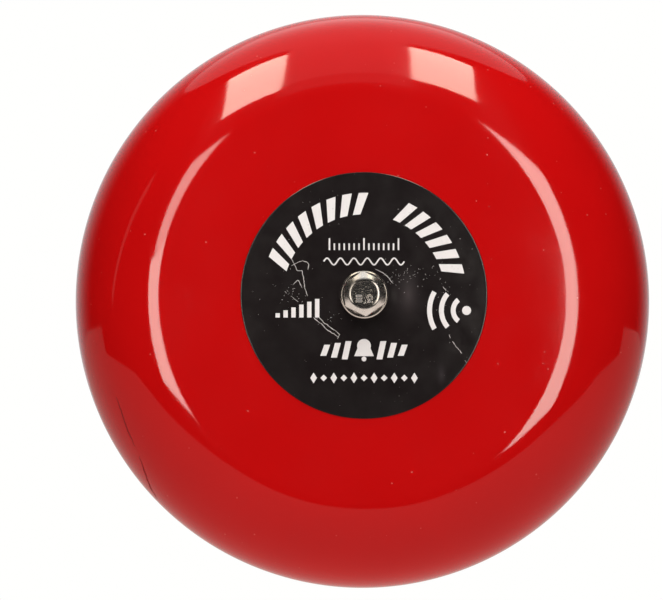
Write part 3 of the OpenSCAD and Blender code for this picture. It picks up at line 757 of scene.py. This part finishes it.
def shank_section():
    """Section of the shank, with a thread cut below its first 2 mm."""
    grooves = []
    for k in range(1, 61):
        groove = 0.28 * abs(((k / 2.0) % 1.0) * 2 - 1) * (k > 8)
        grooves.append((2.96 - groove, HEAD_BASE - 15.4 * k / 60))
    end = HEAD_BASE - SHANK_LENGTH
    return [(SHANK_R, HEAD_BASE)] + grooves + [(2.4, end), (0.0, end)]


def turned_rows(rings, verts, faces):
    """Adds rings of [r, h] rows, evenly spaced round the axis, and the faces between them."""
    start, around, count = len(verts), len(rings), len(rings[0])
    for s, rows in enumerate(rings):
        a = 2 * math.pi * s / around
        verts += [(r * math.cos(a), r * math.sin(a), h) for r, h in rows]
    for s in range(around):
        here, there = start + s * count, start + ((s + 1) % around) * count
        faces += [(here + i, here + i + 1, there + i + 1, there + i) for i in range(count - 1)]


def hex_bolt():
    """The head, closed at the middle of its recess, and the shank under it."""
    verts, faces = [], []
    rings = [head_ring(2 * math.pi * s / SEGMENTS) for s in range(SEGMENTS)]
    turned_rows(rings, verts, faces)
    count = len(rings[0])
    middle = len(verts)
    verts.append((0, 0, HEAD_TOP - RECESS_DEPTH))
    for s in range(SEGMENTS):
        faces.append((s * count + count - 1, middle, ((s + 1) % SEGMENTS) * count + count - 1))
    turned_rows([shank_section()] * SHANK_SEGMENTS, verts, faces)
    return mesh("hex_bolt", verts, faces, sharp=50)


bolt = hex_bolt()
finish_piece(bolt, "bolt", replaces=["gong_bolt"])

wash_low, wash_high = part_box("bolt_washer")
section = rounded([(3.2, -wash_high.y / MM), (wash_high.x / MM, -wash_high.y / MM),
                   (wash_high.x / MM, -wash_low.y / MM), (3.2, -wash_low.y / MM)], [0.2, 0.15, 0.55, 0.3], 6)
washer = lathe("flat_washer", section, 160, sharp=60)
finish_piece(washer, "plated", replaces=["bolt_washer"])

def split_ring(name, outer_r, inner_r, low, high, gap_at, steps=150):
    """A split spring washer: a rounded section swept once round, its ends a little apart."""
    section = rounded([(inner_r, 0.0), (outer_r, 0.0), (outer_r, high - low), (inner_r, high - low)], 0.22, 5)
    verts, faces = [], []
    for s in range(steps + 1):
        t = s / steps
        a = math.radians(gap_at + 4 + 352 * t)
        verts += [(r * math.cos(a), r * math.sin(a), low + h) for r, h in section]
    n = len(section)
    for s in range(steps):
        for i in range(n):
            j = (i + 1) % n
            faces.append((s * n + i, s * n + j, (s + 1) * n + j, (s + 1) * n + i))
    faces += [tuple(range(n)), tuple(steps * n + i for i in range(n))]
    return mesh(name, verts, faces, sharp=60)


lock_low, lock_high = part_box("bolt_lock_washer")
spring_washer = split_ring("spring_washer", lock_high.x / MM, 3.1, -lock_high.y / MM, -lock_low.y / MM, 60)
finish_piece(spring_washer, "plated", replaces=["bolt_lock_washer"])


# ------------------------------------------------------------------ return spring

def helix(name, radius, wire, low, high, turns, per_turn=48, sides=14):
    """A compression spring on the striker's axis with flat end turns."""
    verts, faces = [], []
    axis_y = (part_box("plunger")[0].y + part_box("plunger")[1].y) / 2 / MM
    steps = int(turns * per_turn)
    for i in range(steps + 1):
        turn = i / per_turn
        t = min(1.0, max(0.0, (turn - 0.75) / (turns - 1.5)))
        a = 2 * math.pi * turn
        z = low + (high - low) * (0.7 * t + 0.3 * t * t * (3 - 2 * t))
        for k in range(sides):
            b = 2 * math.pi * k / sides
            r = radius + wire * math.cos(b)
            verts.append((r * math.cos(a), z + wire * math.sin(b), -(axis_y - r * math.sin(a))))
    for i in range(steps):
        for k in range(sides):
            n = (k + 1) % sides
            faces.append((i * sides + k, i * sides + n, (i + 1) * sides + n, (i + 1) * sides + k))
    faces += [tuple(range(sides)), tuple(steps * sides + k for k in range(sides))]
    return mesh(name, verts, faces)


spring_low, spring_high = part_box("return_spring")
COIL_R, WIRE_R, COIL_TURNS = 5.45, 0.4, 5
coil_low, coil_high = spring_low.z / MM + WIRE_R, spring_high.z / MM - WIRE_R
spring = helix("return_coil", COIL_R, WIRE_R, coil_low, coil_high, COIL_TURNS)
finish_piece(spring, "steel", replaces=["return_spring"])
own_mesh(spring)


# ------------------------------------------------------------------ camera, lights and surroundings

FLOOR_Z = -0.16


def aim(obj, target):
    obj.rotation_euler = (Vector(target) - obj.location).to_track_quat("-Z", "Y").to_euler()


CAMERA_PLACE = (-0.012, -0.826, -0.042)
CAMERA_TARGET = (-0.0081, -0.026, 0.0001)
camera_data = bpy.data.cameras.new("camera")
camera_data.lens = 166.2
camera_data.sensor_width = 36.0
camera_data.clip_start = 0.01
camera = bpy.data.objects.new("camera", camera_data)
bpy.context.scene.collection.objects.link(camera)
camera.location = CAMERA_PLACE
aim(camera, CAMERA_TARGET)
bpy.context.scene.camera = camera


def soft_light(name, centre, size, target, radiance, colour=(1, 1, 1), turn=0):
    """A rectangular area light, turned in its own plane. radiance is what a mirror would show of it."""
    data = bpy.data.lights.new(name, "AREA")
    data.shape = "RECTANGLE"
    data.size, data.size_y = size
    data.energy = radiance * math.pi * size[0] * size[1]
    data.color = colour
    obj = bpy.data.objects.new(name, data)
    bpy.context.scene.collection.objects.link(obj)
    obj.location = centre
    if target is not None:
        aim(obj, target)
        obj.rotation_euler.rotate_axis("Z", math.radians(turn))
    return obj


# The overhead windows, and the dim panels between, before and behind them, share one plane, lower in front
TILT = math.radians(12.9)
PANEL_Y = -1.05       # where the upright strips stand, in front of the bell


def overhead(name, x0, x1, y0, y1, radiance, colour=(1, 1, 1)):
    depth = (y0 - y1) / math.cos(TILT)
    y = (y0 + y1) / 2
    z = 0.558 + (y + 0.132) * math.tan(TILT)
    light = soft_light(name, ((x0 + x1) / 2, y, z), (x1 - x0, depth), None, radiance, colour)
    light.rotation_euler = (TILT, 0, 0)
    return light


WARM = (1.0, 0.93, 0.84)
ceilings = [
    overhead("ceiling", -0.158, 0.107, -0.080, -0.540, 0.80),
    overhead("ceiling_front", -0.158, 0.107, -0.540, -0.720, 0.42),
    overhead("ceiling_back", -0.52, 0.48, 0.800, -0.100, 0.93),
]
# The one behind is an ellipse, so its energy goes down with its area
ceilings[-1].data.shape = "ELLIPSE"
ceilings[-1].data.energy *= math.pi / 4


def upright(name, x, z, size, radiance, turn=0):
    """A panel that faces the wall squarely."""
    return soft_light(name, (x, PANEL_Y, z), size, (x, 0, z), radiance, WARM, turn)


def openings(name, windows, strips):
    """The two windows and the two tall strips, as bright as a mirror shows them."""
    return [
        overhead(name + "_window_left", -0.320, -0.158, -0.138, -0.602, windows, (1.0, 0.92, 0.76)),
        overhead(name + "_window_right", 0.107, 0.262, -0.128, -0.570, windows, (1.0, 0.92, 0.76)),
        upright(name + "_strip_left", -0.434, -0.015, (0.23, 0.34), strips),
        upright(name + "_strip_left_top", -0.398, 0.295, (0.18, 0.28), 0.75 * strips, -6),
        upright(name + "_strip_right", 0.434, 0.095, (0.275, 0.71), strips),
    ]


# Light linking gives the paint and film bright openings and every other piece much dimmer copies of them.
# Real light doesn't do this: with one set, the paint is too dull or the bolt burns out.
on_paint = openings("paint", 23.0, 18.6)
on_paint.append(upright("strip_far", -2.14, 0.50, (1.7, 0.20), 0.75, 27))
on_metal = openings("metal", 1.5, 1.7)
painted, bare = bpy.data.collections.new("painted"), bpy.data.collections.new("bare")
for obj in [o for o in bpy.data.objects if o.type == "MESH"]:
    coated = obj.name in ("gong_shell", "paint_crack", "label_film", "label_print", "label_creases")
    (painted if coated else bare).objects.link(obj)
for light in ceilings + on_paint + on_metal:
    light.visible_diffuse = False
for light in on_paint:
    light.light_linking.receiver_collection = painted
for light in on_metal:
    light.light_linking.receiver_collection = bare
# Broad fills light the paint's colour evenly and leave the gloss to the windows and strips
spread = [
    soft_light("front_fill", (0, -1.2, 0.1), (1.0, 1.0), (0, 0, 0), 1.2),
    soft_light("top_fill", (0, -0.4, 0.6), (0.8, 0.8), (0, 0, 0), 4.5),
    soft_light("floor_fill", (0, -0.12, FLOOR_Z + 0.005), (0.7, 0.42), (0, -0.12, 1.0), 0.48),
]
for light in spread:
    light.visible_glossy = False
for light in ceilings + on_paint + on_metal + spread:
    light.visible_camera = False


def studio_world():
    """White to the camera. To the rest it is dim in front and pale behind, a little later on the right."""
    world = bpy.data.worlds.new("studio")
    bpy.context.scene.world = world
    world.use_nodes = True
    tree = world.node_tree
    tree.nodes.clear()
    coord = tree.nodes.new("ShaderNodeTexCoord")
    split = tree.nodes.new("ShaderNodeSeparateXYZ")
    tree.links.new(coord.outputs["Generated"], split.inputs[0])
    sweep = tree.nodes.new("ShaderNodeMapRange")
    sweep.interpolation_type = "SMOOTHERSTEP"
    for key, number in (("From Min", 0.22), ("From Max", 1.0), ("To Min", 0.015), ("To Max", 0.95)):
        sweep.inputs[key].default_value = number
    right = tree.nodes.new("ShaderNodeMath")
    right.operation = "MAXIMUM"
    tree.links.new(split.outputs["X"], right.inputs[0])
    right.inputs[1].default_value = 0.0
    later = tree.nodes.new("ShaderNodeMath")
    later.operation = "MULTIPLY_ADD"
    tree.links.new(right.outputs[0], later.inputs[0])
    later.inputs[1].default_value = -0.09
    tree.links.new(split.outputs["Y"], later.inputs[2])
    tree.links.new(later.outputs[0], sweep.inputs["Value"])
    dim = tree.nodes.new("ShaderNodeBackground")
    tree.links.new(sweep.outputs["Result"], dim.inputs["Strength"])
    white = tree.nodes.new("ShaderNodeBackground")
    white.inputs["Color"].default_value = (1.0, 1.0, 0.99, 1.0)
    seen = tree.nodes.new("ShaderNodeLightPath")
    blend = tree.nodes.new("ShaderNodeMixShader")
    out = tree.nodes.new("ShaderNodeOutputWorld")
    tree.links.new(seen.outputs["Is Camera Ray"], blend.inputs[0])
    tree.links.new(dim.outputs[0], blend.inputs[1])
    tree.links.new(white.outputs[0], blend.inputs[2])
    tree.links.new(blend.outputs[0], out.inputs[0])


studio_world()


def sheet(name, outline, look, z):
    """A flat sheet of the stage, in metres."""
    data = bpy.data.meshes.new(name)
    data.from_pydata([(x, y, z) for x, y in outline], [], [tuple(range(len(outline)))])
    data.materials.append(look.material)
    obj = bpy.data.objects.new(name, data)
    bpy.context.scene.collection.objects.link(obj)
    return obj


floor_look = Look("pale_floor", Roughness=0.9, Specular_IOR_Level=0.0, Emission_Strength=0.78)
floor_look.colour(floor_look.mix(floor_look.noise(12, 3), (0.045, 0.045, 0.045), (0.035, 0.035, 0.035)))
floor_look.shader.inputs["Emission Color"].default_value = (1.0, 0.99, 0.98, 1.0)
floor = sheet("floor", [(-2.5, 1.5), (-2.5, -2.5), (2.5, -2.5), (2.5, 1.5)], floor_look, FLOOR_Z - 0.001)
floor.visible_glossy = False
floor.visible_diffuse = False
# A bright card lies on the floor under the bell. Only its reflection and its light are seen.
card_look = Look("bounce_card", Roughness=0.8, Emission_Strength=0.60)
card_look.colour(card_look.mix(card_look.noise(12, 3), (0.10, 0.10, 0.10), (0.08, 0.08, 0.08)))
card_look.shader.inputs["Emission Color"].default_value = (1.0, 0.88, 0.80, 1.0)
# Its front edge was traced back, by another program, from where the edge of its reflection should lie on
# the gong's lower shoulder. The points are that tracing's result, rounded, and have no other meaning.
card_edge = [(-2.5, 1.5), (-2.5, -0.02), (-0.92, -0.05), (-0.57, -0.43), (-0.40, -0.42),
             (-0.30, -0.40), (-0.155, -0.39), (-0.126, -0.385), (-0.099, -0.365), (-0.075, -0.345),
             (-0.035, -0.325), (0.0, -0.32), (0.038, -0.312), (0.078, -0.325), (0.128, -0.341),
             (0.243, -0.357), (0.307, -0.349), (0.401, -0.323), (0.565, -0.313), (0.93, -0.063),
             (2.5, -0.05), (2.5, 1.5)]
card = sheet("bounce_card", card_edge, card_look, FLOOR_Z)
card.visible_camera = False
card.visible_shadow = False

bpy.context.scene.view_settings.view_transform = "Standard"
